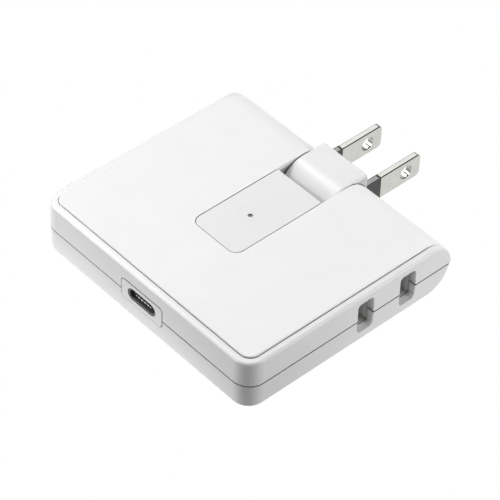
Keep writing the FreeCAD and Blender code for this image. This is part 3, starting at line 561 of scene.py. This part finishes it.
# Metals, by name: the two colours, roughness from and to, stretch of the lines, depth of their
# bumps in millimetres, and the painted shade laid on by place, or what is set on the shader
METALS = {
    # The blade gets painted shade on its bevels and on its hole's wall
    "blade_metal": (((0.63, 0.64, 0.60, 1), (0.69, 0.70, 0.66, 1)), (0.16, 0.24), (1, 0.08, 1),
                    0.0003, {"grooves": blade_painted_shade}),
    # The receptacle's inside gets painted shade, near black deep in
    "port_metal": ((grey(0.42), grey(0.48)), (0.4, 0.5), (1, 0.1, 1), 0.001,
                   {"grooves": port_painted_shade, "shade_and_highlight_colour": grey(0.008), "metallic": 0.4,
                    "Specular_IOR_Level": 0.15}),
    "contact_gold": (((0.84, 0.74, 0.52, 1), (0.90, 0.80, 0.58, 1)), (0.45, 0.55), (1, 0.2, 1),
                     0.001, {}),
    "conductor_brass": (((0.62, 0.52, 0.30, 1), (0.68, 0.58, 0.35, 1)), (0.25, 0.38), (1, 0.1, 1),
                        0.002, {}),
    "winding_copper": (((0.62, 0.26, 0.12, 1), (0.7, 0.32, 0.16, 1)), (0.25, 0.35), (1, 0.1, 1),
                       0.01, {}),
    "spring_steel": ((grey(0.50), grey(0.56)), (0.2, 0.32), (1, 1, 0.1), 0.002, {}),
    "spreader_aluminium": ((grey(0.70), grey(0.76)), (0.3, 0.42), (0.1, 1, 1), 0.003, {}),
    "can_aluminium": ((grey(0.66), grey(0.72)), (0.25, 0.36), (1, 0.1, 1), 0.003, {}),
}

MATERIALS = {}
for make, table in ((moulded, PLASTICS), (brushed, METALS)):
    for name, (*values, more) in table.items():
        MATERIALS[name] = make(name, *values, **more)

# Pieces whose hidden edges need a finish of their own
OWN_FINISH = {"port_bezel": "bezel_plastic"}


def dress():
    """Gives every node the finish of its slot."""
    for name, node in NODES.items():
        for index, slot in enumerate(node.data.materials):
            finish = OWN_FINISH.get(name, slot.name.split(".")[0])
            node.data.materials[index] = MATERIALS[finish]


def put(name, data):
    """Adds an object to the scene."""
    thing = bpy.data.objects.new(name, data)
    bpy.context.scene.collection.objects.link(thing)
    return thing


def glow(tree, strength, kind="ShaderNodeEmission"):
    """Even white light of a strength."""
    node = tree.nodes.new(kind)
    node.inputs["Strength"].default_value = strength
    return node.outputs[0]


def sort_by_ray(tree, choices, other, output):
    """Sends each kind of ray its own shader, and what is left the last one."""
    path = tree.nodes.new("ShaderNodeLightPath")
    for kind, shader in choices:
        mix = tree.nodes.new("ShaderNodeMixShader")
        tree.links.new(path.outputs[kind], mix.inputs[0])
        tree.links.new(other, mix.inputs[1])
        tree.links.new(shader, mix.inputs[2])
        other = mix.outputs[0]
    tree.links.new(other, output.inputs["Surface"])


def floor_light(paint):
    """The floor's glow: stronger before the front, weaker beside the corner next to the outlet."""
    x, y = paint.axes()[:2]
    strip = paint.every(paint.remap(y, (0.0, FLOOR_BOUNCE), STRIP_Y),
                        paint.remap(x, (1.0, 0.0), STRIP_X))
    corner = paint.every(paint.remap(x, (0.0, FLOOR_SHADE), CORNER_X),
                         paint.remap(y, (1.0, 0.0), CORNER_Y),
                         paint.remap(x, (1.0, 0.0), NEAR_X),
                         paint.remap(y, (0.0, 1.0), NEAR_Y))
    return paint.less(paint.calc("ADD", strip, FLOOR_GLOW), corner)


def make_floor():
    mesh = bpy.data.meshes.new("floor")
    corners = [(x * FLOOR_HALF, y * FLOOR_HALF, -FLOOR_DROP * MM)
               for x, y in ((-1, -1), (1, -1), (1, 1), (-1, 1))]
    mesh.from_pydata(corners, [], [(0, 1, 2, 3)])
    floor = put("floor", mesh)
    paint = Paint("floor")
    tree = paint.tree
    tree.nodes.remove(paint.shader)
    choices = [("Is Glossy Ray", glow(tree, FLOOR_GLOSS)),
               ("Is Camera Ray", glow(tree, SEEN_WHITE))]
    upward = glow(tree, FLOOR_GLOW)
    paint.link(floor_light(paint), upward.node.inputs["Strength"])
    sort_by_ray(tree, choices, upward, tree.nodes["Material Output"])
    mesh.materials.append(paint.material)


def make_sky():
    world = bpy.data.worlds.new("studio")
    bpy.context.scene.world = world
    world.use_nodes = True
    tree = world.node_tree
    tree.nodes.clear()
    choices = [("Is Camera Ray", glow(tree, SEEN_WHITE, "ShaderNodeBackground"))]
    sort_by_ray(tree, choices, glow(tree, SKY_GLOW, "ShaderNodeBackground"),
                tree.nodes.new("ShaderNodeOutputWorld"))


def make_softboxes():
    for name, (azimuth, elevation, distance, size, power) in SOFTBOXES.items():
        turn = math.radians(azimuth)
        rise = math.radians(elevation)
        away = Vector((math.sin(turn) * math.cos(rise), math.cos(turn) * math.cos(rise),
                       math.sin(rise)))
        lamp = bpy.data.lights.new(name, "AREA")
        lamp.shape = "RECTANGLE"
        lamp.size, lamp.size_y = size
        lamp.energy = power
        holder = put(name, lamp)
        holder.location = LIGHT_AIM + away * distance
        holder.rotation_euler = (-away).to_track_quat("-Z", "Y").to_euler()
        holder.visible_camera = False


def make_camera():
    lens = bpy.data.cameras.new("camera")
    lens.sensor_width = CAMERA_SENSOR
    lens.lens = CAMERA_LENS
    lens.clip_start, lens.clip_end = CAMERA_CLIP
    holder = put("camera", lens)
    holder.location = [value * MM for value in CAMERA_PLACE]
    holder.rotation_euler = [math.radians(value) for value in CAMERA_TURN]
    bpy.context.scene.camera = holder


dress()
make_floor()
make_sky()
make_softboxes()
make_camera()
bpy.context.scene.view_settings.view_transform = "Standard"
